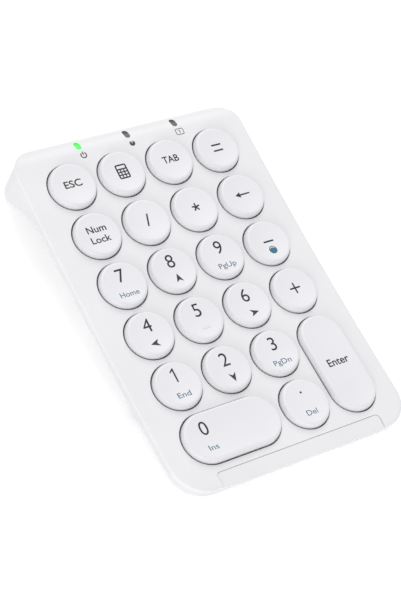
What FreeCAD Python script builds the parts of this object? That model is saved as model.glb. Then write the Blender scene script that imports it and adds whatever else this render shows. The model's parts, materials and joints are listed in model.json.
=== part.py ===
import FreeCAD, Part
import math
import os

import Sketcher

# Wireless numeric keypad. The keys stand on a shallow concave deck. Everything is drawn in the deck's
# own frame (x right, y to the rear, z out of the deck, zero at the middle of the key field) and is then
# tilted onto the table by one shared placement. The row frame has +Z up and its origin on the table.

DOC = FreeCAD.newDocument("numeric_keypad")
V = FreeCAD.Vector
X_AXIS = V(1, 0, 0)
Y_AXIS = V(0, 1, 0)
Z_AXIS = V(0, 0, 1)

DIMENSIONS = {
    # key field
    "key_pitch": 19.0,
    "front_key_extra": 0.9,
    "cap_radius": 8.15,
    "cap_rise": 2.1,
    "cap_skirt": 0.9,
    "cap_wall": 1.0,
    "cap_ceiling": 0.5,
    "cap_dish": 0.4,
    "cap_rim": 1.0,
    "cap_edge_drop": 0.8,
    "cap_side_draft": 0.2,
    "cap_crest_width": 0.25,
    "cap_crest_drop": 0.015,
    "opening_gap": 0.45,
    "opening_rim": 0.2,
    # case
    "deck_radius": 1000.0,
    "case_width": 89.0,
    "case_front": 64.5,
    "case_rear": 65.2,
    "front_corner": 11.0,
    "rear_corner": 9.3,
    "rear_round_start": 59.0,
    "rear_round_radius": 8.0,
    "rear_lip": 1.2,
    "cover_thickness": 1.2,
    "cover_edge": 1.0,
    "parting_gap": 0.25,
    "parting_step": 0.3,
    "body_thickness": 5.4,
    "wall": 1.3,
    "floor_wall": 1.1,
    "bottom_edge": 1.8,
    "hump_start": 31.0,
    "hump_radius": 32.0,
    "hump_slope": 38.6,
    "hump_straight": 2.56,
    "hump_toe_radius": 8.0,
    "tilt": 5.6,
    "foot_proud": 0.8,
    "row_shift": -0.829,
    # front trim
    "trim_left": 31.5,
    "trim_right": 32.5,
    "trim_rear": 59.3,
    "trim_seat": 1.25,
    "trim_corner": 1.5,
    "trim_sink": 0.12,
    "trim_slope": 0.35,
    "trim_gap": 0.2,
    # status lights
    "light_spacing": 19.0,
    "light_shift": -0.3,
    "light_place": 61.8,
    "light_width": 2.1,
    "light_length": 3.6,
    "light_sink": 0.03,
    "light_gap": 0.05,
    "light_foot": 0.4,
    "light_stem_inset": 0.25,
    "light_drop": 3.7,
    # switch layers below the deck
    "film_top": 3.05,
    "film_thickness": 0.1,
    "plate_thickness": 0.4,
    "layer_half_width": 38.3,
    "layer_front": 60.0,
    "layer_rear": 58.2,
    "layer_corner": 4.0,
    "dome_radius": 2.6,
    "dome_flange": 3.0,
    "dome_crown": 1.5,
    "dome_wall": 0.35,
    "dome_foot": 0.3,
    "dome_neck": 0.7,
    "dome_core": 1.1,
    "dome_gap": 0.05,
    "link_half_width": 5.5,
    "link_half_length": 3.8,
    "link_bar": 0.65,
    "link_thickness": 0.55,
    "link_angle": 20.0,
    "link_gap": 0.15,
    "link_pin": 0.17,
    "link_eye": 0.2,
    "wire_radius": 0.25,
    "wire_reach": 11.0,
    "wire_side": 5.9,
    "wire_leg_run": 3.67,
    "wire_leg_rise": 2.6,
    "wire_hook": 1.0,
    "wire_gap": 0.05,
    # electronics: each part's width, depth and height, the middle of it along x, and its front
    "board_width": 76.0,
    "board_front": 47.5,
    "board_rear": 62.1,
    "board_top": 4.4,
    "board_thickness": 0.8,
    "board_screw_place": 34.0,
    "board_screw_row": 58.5,
    "microcontroller_width": 6.0,
    "microcontroller_depth": 6.0,
    "microcontroller_height": 0.9,
    "microcontroller_place": -10.0,
    "microcontroller_front": 50.0,
    "crystal_width": 3.2,
    "crystal_depth": 2.5,
    "crystal_height": 0.7,
    "crystal_place": -1.0,
    "crystal_front": 52.0,
    "ribbon_connector_width": 13.0,
    "ribbon_connector_depth": 2.0,
    "ribbon_connector_height": 1.3,
    "ribbon_connector_place": 9.0,
    "ribbon_connector_front": 57.4,
    "battery_connector_width": 5.0,
    "battery_connector_depth": 2.6,
    "battery_connector_height": 1.6,
    "battery_connector_place": -14.0,
    "battery_connector_front": 48.2,
    "led_width": 1.6,
    "led_depth": 0.9,
    "led_height": 0.55,
    "led_front": 61.0,
    "tail_width": 11.0,
    "tail_height": 1.6,
    "tail_front": 58.3,
    "battery_length": 36.0,
    "battery_width": 8.0,
    "battery_height": 3.4,
    "battery_front": 52.2,
    "battery_gap": 0.6,
    "lead_radius": 0.35,
    "lead_spread": 0.8,
    "lead_drop": 1.0,
    "socket_place": 24.0,
    "socket_width": 8.94,
    "socket_height": 3.26,
    "socket_depth": 7.3,
    "socket_shell": 0.3,
    "socket_back": 1.0,
    "tongue_width": 6.7,
    "tongue_height": 0.7,
    "mouth_gap": 0.15,
    "switch_place": -26.0,
    "switch_travel": 2.0,
    "switch_width": 9.0,
    "switch_depth": 3.2,
    "switch_height": 3.0,
    "switch_groove_depth": 1.4,
    "knob_width": 2.6,
    "knob_height": 1.6,
    "knob_proud": 0.6,
    "knob_gap": 0.1,
    # fasteners and feet
    "screw_place": 40.9,
    "screw_row": 30.0,
    "screw_radius": 0.8,
    "hole_gap": 0.1,
    "pilot_gap": 0.05,
    "head_gap": 0.15,
    "screw_head_radius": 1.6,
    "boss_radius": 1.7,
    "boss_root": 0.85,
    "boss_clearance": 0.15,
    "screw_tip_gap": 0.1,
    "screw_head_sink": 0.8,
    "board_screw_length": 4.0,
    "post_wall": 0.5,
    "post_root": 0.3,
    "screw_head_height": 0.4,
    "screw_head_gap": 0.06,
    "foot_radius": 4.5,
    "foot_sink": 0.5,
    "foot_gap": 0.05,
    "front_foot_spread": 34.0,
    "front_foot_place": 52.0,
    "rear_foot_spread": 27.0,
    "rear_foot_length": 14.0,
    "rear_foot_width": 2.8,
    "rear_foot_inset": 1.0,
}

sheet = DOC.addObject("Spreadsheet::Sheet", "dims")
for row, (alias, number) in enumerate(DIMENSIONS.items(), start=1):
    sheet.set("A%d" % row, alias)
    sheet.set("B%d" % row, str(number))
    sheet.setAlias("B%d" % row, alias)
DOC.recompute()


def size(alias):
    """The number in the sheet's cell of that alias."""
    return float(sheet.get(alias))


# How far a cutting tool, or a blank that is cut to an outline, runs past the surface it meets.
OVERLAP = 0.3

DECK_RADIUS = size("deck_radius")
PITCH = size("key_pitch")


def tilted():
    """The placement that sets the deck frame down on the table."""
    angle = size("tilt")
    rotation = FreeCAD.Rotation(X_AXIS, angle)
    foot_line = rotation.multVec(V(0, hump()["toe_end"][0], hump()["toe_end"][1]))
    lift = size("foot_proud") - foot_line.z
    return FreeCAD.Placement(V(0, size("row_shift"), lift), rotation)


def deck_height(y):
    """Height of the deck surface above the middle of the key field."""
    return DECK_RADIUS - math.sqrt(DECK_RADIUS**2 - y**2)


def on_deck(x, y):
    """Placement of a piece that stands square on the deck at x, y, in the row frame."""
    lean = math.degrees(math.asin(y / DECK_RADIUS))
    local = FreeCAD.Placement(V(x, y, deck_height(y)), FreeCAD.Rotation(X_AXIS, lean))
    return tilted().multiply(local)


def rear_round_centre():
    """Centre of the rounding that takes the deck's surface down along its rear edge, as (y, z)."""
    start = size("rear_round_start")
    lean = math.asin(start / DECK_RADIUS)
    radius = size("rear_round_radius")
    return (start + radius * math.sin(lean), deck_height(start) - radius * math.cos(lean))


def on_rear_round(y, depth=0.0):
    """The point at y of the rounded rear, or of a surface at a depth below it, as (y, z)."""
    centre = rear_round_centre()
    reach = size("rear_round_radius") - depth
    return (y, centre[1] + math.sqrt(reach**2 - (y - centre[0]) ** 2))


def arc_point(radius, y):
    """The point at y of an arc about the deck's axis, as (y, z)."""
    return (y, DECK_RADIUS - math.sqrt(radius**2 - y**2))


def under_rear(depth, y):
    """The point at y of the straight slope below the rounded rear, which starts at a depth, as (y, z)."""
    start = size("rear_round_start")
    rear = size("case_rear")
    upper = arc_point(DECK_RADIUS + size("cover_thickness"), start)[1]
    lower = on_rear_round(rear)[1] - size("rear_lip")
    slope = (lower - upper) / (rear - start)
    return (y, arc_point(DECK_RADIUS + depth, start)[1] + slope * (y - start))


def hump(inset=0.0):
    """Corner points of the rear hump's underside, or of a surface inset from it, as (y, z)."""
    slope = math.radians(size("hump_slope"))
    flat = math.radians(size("tilt"))
    outside = DECK_RADIUS + size("body_thickness")
    start = size("hump_start")
    first = math.asin(start / outside)
    begin = arc_point(outside, start)
    radius = size("hump_radius")
    centre = (begin[0] + radius * math.sin(first), begin[1] - radius * math.cos(first))
    run = size("hump_straight")
    toe = size("hump_toe_radius")
    toe_centre = (
        centre[0] + (radius + toe) * math.sin(slope) + run * math.cos(slope),
        centre[1] + (radius + toe) * math.cos(slope) - run * math.sin(slope),
    )

    def on_ramp(angle):
        reach = radius + inset
        return (centre[0] + reach * math.sin(angle), centre[1] + reach * math.cos(angle))

    def on_toe(angle):
        reach = toe - inset
        return (toe_centre[0] - reach * math.sin(angle), toe_centre[1] - reach * math.cos(angle))

    toe_end = on_toe(flat)
    rear = size("case_rear")
    return {
        "begin": on_ramp(-first),
        "ramp_mid": on_ramp((slope - first) / 2),
        "ramp_end": on_ramp(slope),
        "toe_start": on_toe(slope),
        "toe_mid": on_toe((slope + flat) / 2),
        "toe_end": toe_end,
        "flat_end": (rear, toe_end[1] - (rear - toe_end[0]) * math.tan(flat)),
    }


def term(alias, factor=1.0, plus=0.0):
    """A number worked out from one cell, together with the expression that binds it to the sheet."""
    return (factor * size(alias) + plus, "dims.%s * %g + %g" % (alias, factor, plus))


def new_body(label):
    body = DOC.addObject("PartDesign::Body", label)
    body.Label = label
    return body


def new_sketch(body, role, name):
    """A sketch on one of the body's own origin planes."""
    sketch = body.newObject("Sketcher::SketchObject", name)
    plane = next(f for f in body.Origin.OriginFeatures if f.Role == role)
    sketch.AttachmentSupport = (plane, [""])
    sketch.MapMode = "FlatFace"
    return sketch


def bind(sketch, kind, geometry, number, expression):
    """Adds a size constraint and ties it to the sheet."""
    index = sketch.addConstraint(Sketcher.Constraint(kind, *geometry, number))
    sketch.setExpression("Constraints[%d]" % index, expression)


def draw_loop(sketch, pieces):
    """Draws a closed loop: each piece is two points for a line, or three for an arc through the middle."""
    first = sketch.GeometryCount
    for points in pieces:
        ends = [V(p[0], p[1], 0) for p in points]
        if len(ends) == 2:
            sketch.addGeometry(Part.LineSegment(ends[0], ends[1]), False)
        else:
            sketch.addGeometry(Part.Arc(ends[0], ends[1], ends[2]), False)
    count = len(pieces)
    for i in range(count):
        here = first + i
        following = first + (i + 1) % count
        joint = V(pieces[i][-1][0], pieces[i][-1][1], 0)
        end = nearest_end(sketch, here, joint)
        start = nearest_end(sketch, following, joint)
        sketch.addConstraint(Sketcher.Constraint("Coincident", here, end, following, start))
        sketch.addConstraint(Sketcher.Constraint("Block", here))
    return first


def nearest_end(sketch, index, point):
    """1 for the geometry's start point or 2 for its end point, whichever lies at the point."""
    return min((1, 2), key=lambda end: (sketch.getPoint(index, end) - point).Length)


def draw_circle(sketch, x, y, radius):
    """A circle at a given place whose radius, a term, is tied to the sheet."""
    number, expression = radius
    index = sketch.addGeometry(Part.Circle(V(x, y, 0), Z_AXIS, number), False)
    sketch.addConstraint(Sketcher.Constraint("DistanceX", -1, 1, index, 3, x))
    sketch.addConstraint(Sketcher.Constraint("DistanceY", -1, 1, index, 3, y))
    bind(sketch, "Radius", (index,), number, expression)


def draw_slot(sketch, x, y, radius, length, upright):
    """A slot of two half circles. The length is that of its straight sides, along y when upright."""
    number, expression = radius
    run = length[0] / 2
    along = V(0, run, 0) if upright else V(run, 0, 0)
    across = V(number, 0, 0) if upright else V(0, -number, 0)
    middle = V(x, y, 0)
    turn = math.pi / 2 if not upright else math.pi
    far = Part.ArcOfCircle(Part.Circle(middle + along, Z_AXIS, number), turn - math.pi, turn)
    near = Part.ArcOfCircle(Part.Circle(middle - along, Z_AXIS, number), turn, turn + math.pi)
    first = sketch.addGeometry(far, False)
    sketch.addGeometry(Part.LineSegment(middle + along - across, middle - along - across), False)
    sketch.addGeometry(near, False)
    sketch.addGeometry(Part.LineSegment(middle - along + across, middle + along + across), False)
    for here, following, end, start in ((0, 1, 2, 1), (1, 2, 2, 1), (2, 3, 2, 1), (3, 0, 2, 1)):
        joined = (first + here, end, first + following, start)
        sketch.addConstraint(Sketcher.Constraint("Tangent", *joined))
    direction = "Vertical" if upright else "Horizontal"
    sketch.addConstraint(Sketcher.Constraint(direction, first + 1))
    bind(sketch, "Radius", (first,), number, expression)
    measure = "DistanceY" if upright else "DistanceX"
    bind(sketch, measure, (first + 2, 3, first, 3), length[0], length[1])
    centre = middle + along
    sketch.addConstraint(Sketcher.Constraint("DistanceX", -1, 1, first, 3, centre.x))
    sketch.addConstraint(Sketcher.Constraint("DistanceY", -1, 1, first, 3, centre.y))


def draw_rounded(sketch, left, right, front, rear, front_radius, rear_radius):
    """A rounded rectangle. Each side and radius is a term; the sides are distances from the origin."""
    x0, x1, y0, y1 = -left[0], right[0], -front[0], rear[0]
    rf, rr = front_radius[0], rear_radius[0]
    corners = (
        (V(x1 - rf, y0 + rf, 0), rf, -math.pi / 2, 0),
        (V(x1 - rr, y1 - rr, 0), rr, 0, math.pi / 2),
        (V(x0 + rr, y1 - rr, 0), rr, math.pi / 2, math.pi),
        (V(x0 + rf, y0 + rf, 0), rf, math.pi, 3 * math.pi / 2),
    )
    arcs = [
        sketch.addGeometry(Part.ArcOfCircle(Part.Circle(c, Z_AXIS, r), a, b), False)
        for c, r, a, b in corners
    ]
    lines = []
    for i in range(4):
        start = sketch.getPoint(arcs[i], 2)
        end = sketch.getPoint(arcs[(i + 1) % 4], 1)
        line = sketch.addGeometry(Part.LineSegment(start, end), False)
        sketch.addConstraint(Sketcher.Constraint("Tangent", arcs[i], 2, line, 1))
        sketch.addConstraint(Sketcher.Constraint("Tangent", line, 2, arcs[(i + 1) % 4], 1))
        lines.append(line)
    for line, direction in zip(lines, ("Vertical", "Horizontal", "Vertical", "Horizontal")):
        sketch.addConstraint(Sketcher.Constraint(direction, line))
    for arc, radius in zip(arcs, (front_radius, rear_radius, rear_radius, front_radius)):
        bind(sketch, "Radius", (arc,), radius[0], radius[1])
    bind(sketch, "DistanceX", (-1, 1, lines[0], 1), right[0], right[1])
    bind(sketch, "DistanceY", (-1, 1, lines[1], 1), rear[0], rear[1])
    bind(sketch, "DistanceX", (lines[2], 1, -1, 1), left[0], left[1])
    bind(sketch, "DistanceY", (lines[3], 1, -1, 1), front[0], front[1])


def pad(body, sketch, length, name):
    """Pads a sketch half to each side of its plane, by a length that is an expression."""
    feature = body.newObject("PartDesign::Pad", name)
    feature.Profile = sketch
    feature.Midplane = True
    feature.setExpression("Length", length)
    DOC.recompute()
    return feature


def cut_through(body, sketch, name):
    """Pockets a sketch through the whole body, to both sides of its plane."""
    before = body.Shape.Volume
    feature = body.newObject("PartDesign::Pocket", name)
    feature.Profile = sketch
    feature.Type = "ThroughAll"
    feature.Midplane = True
    DOC.recompute()
    if not body.Shape.Volume < before:
        raise RuntimeError("%s cut nothing from %s" % (name, body.Label))
    return feature


def trim_to_outline(body, name, left, right, front, rear, front_radius, rear_radius):
    """Cuts away everything outside a rounded rectangle, seen square to the deck."""
    sketch = new_sketch(body, "XY_Plane", name)
    reach = size("case_width")
    square = [(-reach, -reach), (reach, -reach), (reach, reach), (-reach, reach)]
    draw_loop(sketch, [(square[i], square[(i + 1) % 4]) for i in range(4)])
    draw_rounded(sketch, left, right, front, rear, front_radius, rear_radius)
    return cut_through(body, sketch, name + "_cut")


def curved_plate(label, depth, thickness, outline):
    """A plate that follows the deck at a depth below it, cut to a rounded outline."""
    body = new_body(label)
    profile = new_sketch(body, "YZ_Plane", label + "_profile")
    upper = DECK_RADIUS + depth
    lower = upper + thickness
    reach = size("case_front") + 1
    a, b, c = arc_point(upper, -reach), arc_point(upper, 0), arc_point(upper, reach)
    d, e, f = arc_point(lower, reach), arc_point(lower, 0), arc_point(lower, -reach)
    draw_loop(profile, [(a, b, c), (c, d), (d, e, f), (f, a)])
    pad(body, profile, "dims.case_width", label + "_pad")
    trim_to_outline(body, label + "_outline", *outline)
    return body


def key_table():
    """Keys as (name, x, y, kind). The kinds are round, deep, wide and tall."""
    rows = (
        ("esc", "calculator", "tab", "equals"),
        ("num_lock", "divide", "multiply", "backspace"),
        ("7", "8", "9", "minus"),
        ("4", "5", "6", "plus"),
        ("1", "2", "3"),
    )
    keys = []
    for row, names in enumerate(rows):
        for column, name in enumerate(names):
            keys.append(("key_" + name, (column - 1.5) * PITCH, (2.5 - row) * PITCH, "round"))
    extra = size("front_key_extra") / 2
    keys.append(("key_0", -PITCH, -2.5 * PITCH - extra, "wide"))
    keys.append(("key_decimal", 0.5 * PITCH, -2.5 * PITCH - extra, "deep"))
    keys.append(("key_enter", 1.5 * PITCH, -2 * PITCH - extra, "tall"))
    return keys


KEYS = key_table()


def draw_key_outline(sketch, x, y, kind, gap):
    """The outline of a key's cap, or of its opening when there is a gap round it."""
    radius = term("cap_radius", 1.0, gap)
    extra = size("front_key_extra")
    if kind == "round":
        draw_circle(sketch, x, y, radius)
    elif kind == "deep":
        draw_slot(sketch, x, y, radius, term("front_key_extra"), True)
    elif kind == "tall":
        draw_slot(sketch, x, y, radius, term("front_key_extra", 1.0, PITCH), True)
    else:
        wide = term("cap_radius", 1.0, gap + extra / 2)
        draw_slot(sketch, x, y, wide, term("front_key_extra", -1.0, PITCH), False)


def round_edges(body, name, radius, wanted):
    """Fillets the edges of the body whose middle point passes a test."""
    base = body.Tip
    names = []
    for number, edge in enumerate(base.Shape.Edges, start=1):
        if wanted(edge.valueAt((edge.FirstParameter + edge.LastParameter) / 2)):
            names.append("Edge%d" % number)
    fillet = body.newObject("PartDesign::Fillet", name)
    fillet.Base = (base, names)
    fillet.setExpression("Radius", radius)
    DOC.recompute()
    return fillet


def case_outline(inset=0.0):
    """The six terms of the case's rounded outline, or of one inset all round."""
    return (
        term("case_width", 0.5, -inset),
        term("case_width", 0.5, -inset),
        term("case_front", 1.0, -inset),
        term("case_rear", 1.0, -inset),
        term("front_corner", 1.0, -inset),
        term("rear_corner", 1.0, -inset),
    )


def pad_down(body, sketch, start, end, name):
    """Pads a sketch between two depths below the middle of the deck, both expressions."""
    sketch.setExpression("AttachmentOffset.Base.z", "-(%s)" % start)
    feature = body.newObject("PartDesign::Pad", name)
    feature.Profile = sketch
    feature.Reversed = True
    feature.setExpression("Length", "(%s) - (%s)" % (end, start))
    DOC.recompute()
    return feature


LIGHTS = [side * size("light_spacing") + size("light_shift") for side in (-1, 0, 1)]
LIGHT_LABELS = ("power_light_window", "wireless_light_window", "num_lock_light_window")
PLATE_ROWS = (2 * PITCH, 0.0, -PITCH)
PLATE_SCREWS = [(x, y) for x in (-PITCH, PITCH) for y in PLATE_ROWS]
CASE_SCREWS = [
    (side * size("screw_place"), end * size("screw_row")) for side in (-1, 1) for end in (-1, 1)
]


def draw_trim_outline(sketch, gap):
    """The outline of the front trim's seat, or of the trim when there is a gap, run past the front."""
    draw_rounded(
        sketch,
        term("trim_left", 1.0, -gap),
        term("trim_right", 1.0, -gap),
        term("case_front", 1.0, 2 * size("trim_corner")),
        term("trim_rear", -1.0, -gap),
        term("trim_corner", 1.0, -gap),
        term("trim_corner", 1.0, -gap),
    )


def make_cover_plate(label):
    """A thin plate that follows the deck and turns down along its rear edge, cut to the case's outline."""
    body = new_body(label)
    profile = new_sketch(body, "YZ_Plane", label + "_profile")
    thickness = size("cover_thickness")
    start = size("rear_round_start")
    rear = size("case_rear") + OVERLAP
    front = -size("case_front") - 1
    upper = [arc_point(DECK_RADIUS, y) for y in (front, 0, start)]
    lower = [arc_point(DECK_RADIUS + thickness, y) for y in (start, 0, front)]
    turned = [on_rear_round((start + rear) / 2), on_rear_round(rear)]
    lip = under_rear(thickness, rear)
    loop = [tuple(upper), (upper[-1], *turned), (turned[-1], lip), (lip, lower[0])]
    draw_loop(profile, loop + [tuple(lower), (lower[-1], upper[0])])
    pad(body, profile, "dims.case_width", label + "_pad")
    trim_to_outline(body, label + "_outline", *case_outline())
    return body


def draw_bosses(body, name, places, depth):
    """Screw bosses from inside the cover down to a depth, an expression."""
    bosses = new_sketch(body, "XY_Plane", name)
    for x, y in places:
        draw_circle(bosses, x, y, term("boss_radius"))
    pad_down(body, bosses, "dims.cover_thickness - dims.boss_root", depth, name + "_pad")


def make_top_cover():
    """The deck: a thin concave plate with an opening for each key, light slots, bosses and trim recess."""
    body = make_cover_plate("top_cover")
    bend = size("rear_round_start")

    def on_top(middle):
        height = on_rear_round(middle.y)[1] if middle.y > bend else deck_height(middle.y)
        return abs(middle.z - height) < 0.01 and abs(middle.y - bend) > 0.01

    def on_outline(middle):
        side = size("case_width") / 2 - abs(middle.x)
        ends = min(size("case_rear") - middle.y, size("case_front") + middle.y)
        return min(side, ends) < 5.0

    round_edges(body, "top_cover_edge", "dims.cover_edge", on_top)

    draw_bosses(body, "case_bosses", CASE_SCREWS, "dims.film_top - dims.boss_clearance")
    for i, row in enumerate(PLATE_ROWS):
        places = [(x, y) for x, y in PLATE_SCREWS if y == row]
        depth = "dims.film_top - dims.boss_clearance - %g" % deck_height(row)
        draw_bosses(body, "plate_bosses_%d" % i, places, depth)

    openings = new_sketch(body, "XY_Plane", "key_openings")
    for _, x, y, kind in KEYS:
        draw_key_outline(openings, x, y, kind, size("opening_gap"))
    cut_through(body, openings, "key_openings_cut")

    def on_opening(middle):
        return on_top(middle) and not on_outline(middle)

    round_edges(body, "key_opening_rims", "dims.opening_rim", on_opening)

    slots = new_sketch(body, "XY_Plane", "light_slots")
    straight = term("light_length", 1.0, -size("light_width"))
    for x in LIGHTS:
        draw_slot(slots, x, size("light_place"), term("light_width", 0.5), straight, True)
    cut_through(body, slots, "light_slots_cut")

    seat = new_sketch(body, "XY_Plane", "trim_seat")
    draw_trim_outline(seat, 0.0)
    seat.setExpression("AttachmentOffset.Base.z", "dims.trim_seat")
    recess = body.newObject("PartDesign::Pocket", "trim_seat_cut")
    recess.Profile = seat
    recess.Type = "ThroughAll"
    recess.Reversed = True
    DOC.recompute()

    pilots = new_sketch(body, "XY_Plane", "screw_pilots")
    for x, y in PLATE_SCREWS + CASE_SCREWS:
        draw_circle(pilots, x, y, term("screw_radius", 1.0, size("pilot_gap")))
    pilots.setExpression("AttachmentOffset.Base.z", "-dims.cover_thickness")
    pocket = body.newObject("PartDesign::Pocket", "screw_pilots_cut")
    pocket.Profile = pilots
    pocket.Type = "ThroughAll"
    pocket.Midplane = False
    DOC.recompute()
    return body


def make_front_trim():
    """The inlaid strip along the front edge. Its face falls away a little towards the front."""
    body = new_body("front_trim")
    profile = new_sketch(body, "YZ_Plane", "front_trim_profile")
    rear = -size("trim_rear")
    front = -size("case_front") + size("parting_gap")
    seat = size("trim_seat")
    high = deck_height(rear) - size("trim_sink")
    corners = [(rear, seat), (rear, high), (front, high - size("trim_slope")), (front, seat)]
    draw_loop(profile, [(corners[i], corners[(i + 1) % 4]) for i in range(4)])
    pad(body, profile, "dims.case_width", "front_trim_pad")
    outline = new_sketch(body, "XY_Plane", "front_trim_outline")
    reach = size("case_width")
    square = [(-reach, -reach), (reach, -reach), (reach, reach), (-reach, reach)]
    draw_loop(outline, [(square[i], square[(i + 1) % 4]) for i in range(4)])
    draw_trim_outline(outline, size("trim_gap"))
    cut_through(body, outline, "front_trim_outline_cut")
    return body


def shell_profile(body, name, top, depth, inset):
    """The case's side profile below the parting line, or the same shape inset for the hollow."""
    corners = hump(inset)
    under = DECK_RADIUS + depth
    front = -size("case_front") + inset
    rear = size("case_rear") - inset
    flat_end = (rear, corners["flat_end"][1] + inset * math.tan(math.radians(size("tilt"))))
    front_top = arc_point(DECK_RADIUS + top, front)
    front_foot = arc_point(under, front)
    bend = arc_point(DECK_RADIUS + top, size("rear_round_start"))
    rear_top = under_rear(top, rear)
    sketch = new_sketch(body, "YZ_Plane", name)
    draw_loop(
        sketch,
        [
            (front_foot, front_top),
            (front_top, arc_point(DECK_RADIUS + top, 0), bend),
            (bend, rear_top),
            (rear_top, flat_end),
            (flat_end, corners["toe_end"]),
            (corners["toe_end"], corners["toe_mid"], corners["toe_start"]),
            (corners["toe_start"], corners["ramp_end"]),
            (corners["ramp_end"], corners["ramp_mid"], corners["begin"]),
            (corners["begin"], arc_point(under, 0), front_foot),
        ],
    )
    return sketch


def make_shell(label, top, depth, inset, outline):
    """A solid of the lower case's shape: its outside, or the hollow inside it."""
    body = new_body(label)
    sketch = shell_profile(body, label + "_profile", top, depth, inset)
    pad(body, sketch, "dims.case_width", label + "_pad")
    trim_to_outline(body, label + "_outline", *outline)
    return body


def box(name, width, depth, height, x, y, z):
    """A box on the deck frame, centred on x and standing on z, with y its front. Sizes are expressions."""
    solid = DOC.addObject("Part::Box", name)
    solid.setExpression("Length", width)
    solid.setExpression("Width", depth)
    solid.setExpression("Height", height)
    DOC.recompute()
    corner = FreeCAD.Placement(V(x - solid.Length.Value / 2, y, z), FreeCAD.Rotation())
    solid.Placement = tilted().multiply(corner)
    solid.Label = name
    return solid


def cylinder(name, radius, height, x, y, z):
    """A cylinder that stands square to the middle of the deck. Sizes are expressions."""
    solid = DOC.addObject("Part::Cylinder", name)
    solid.setExpression("Radius", radius)
    solid.setExpression("Height", height)
    solid.Placement = tilted().multiply(FreeCAD.Placement(V(x, y, z), FreeCAD.Rotation()))
    solid.Label = name
    return solid


def fused(label, base, tools):
    result = DOC.addObject("Part::MultiFuse", label)
    result.Shapes = [base] + tools
    result.Label = label
    return result


def cut_away(label, base, tools):
    """The base with every tool cut out of it."""
    joined = DOC.addObject("Part::Compound", label + "_tools")
    joined.Links = tools
    result = DOC.addObject("Part::Cut", label)
    result.Base = base
    result.Tool = joined
    result.Label = label
    return result


def group(label, members):
    """Separate solids that share one node."""
    result = DOC.addObject("Part::Compound", label)
    result.Links = members
    result.Label = label
    return result


def slot_bar(label, width, height, depth, x, y, z):
    """A bar along y with a slot's section, centred on x and z. Width and height are terms."""
    body = new_body(label)
    sketch = new_sketch(body, "XZ_Plane", label + "_section")
    straight = (width[0] - height[0], "(%s) - (%s)" % (width[1], height[1]))
    radius = (height[0] / 2, "(%s) / 2" % height[1])
    draw_slot(sketch, 0.0, 0.0, radius, straight, False)
    pad(body, sketch, depth, label + "_pad")
    middle = body.Shape.BoundBox.YLength / 2
    body.Placement = tilted().multiply(FreeCAD.Placement(V(x, y + middle, z), FreeCAD.Rotation()))
    return body


TILTED = tilted()
BOARD_UNDER = -size("board_top") - size("board_thickness")
SOCKET_LEVEL = BOARD_UNDER - size("socket_height") / 2
SWITCH_LEVEL = BOARD_UNDER - size("switch_height") / 2
REAR_FACE = size("case_rear") - size("parting_step")
INNER_REAR = REAR_FACE - size("wall")
BOARD_SCREWS = [(side * size("board_screw_place"), size("board_screw_row")) for side in (-1, 1)]


def front_feet(name, gap):
    """Two round feet, upright in the row frame, that sink a little into the case's underside."""
    y = -size("front_foot_place")
    under = arc_point(DECK_RADIUS + size("body_thickness"), y)[1]
    solids = []
    for i, side in enumerate((-1, 1)):
        top = TILTED.multVec(V(side * size("front_foot_spread"), y, under))
        solid = DOC.addObject("Part::Cylinder", "%s_%d" % (name, i))
        solid.setExpression("Radius", "dims.foot_radius + %g" % gap)
        solid.setExpression("Height", "%g + dims.foot_sink" % top.z)
        solid.Placement = FreeCAD.Placement(V(top.x, top.y, 0), FreeCAD.Rotation())
        solids.append(solid)
    return solids


def rear_feet(name, gap):
    """Two long pads under the hump, upright in the row frame."""
    corners = hump()
    middle = (corners["toe_end"][0] + size("case_rear")) / 2 - size("rear_foot_inset")
    under = TILTED.multVec(V(0, middle, corners["toe_end"][1]))
    solids = []
    for i, side in enumerate((-1, 1)):
        solid = DOC.addObject("Part::Box", "%s_%d" % (name, i))
        solid.setExpression("Length", "dims.rear_foot_length + %g" % (2 * gap))
        solid.setExpression("Width", "dims.rear_foot_width + %g" % (2 * gap))
        solid.setExpression("Height", "dims.foot_proud + dims.foot_sink")
        x = side * size("rear_foot_spread") - size("rear_foot_length") / 2 - gap
        y = under.y - size("rear_foot_width") / 2 - gap
        solid.Placement = FreeCAD.Placement(V(x, y, 0), FreeCAD.Rotation())
        solids.append(solid)
    return solids


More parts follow.
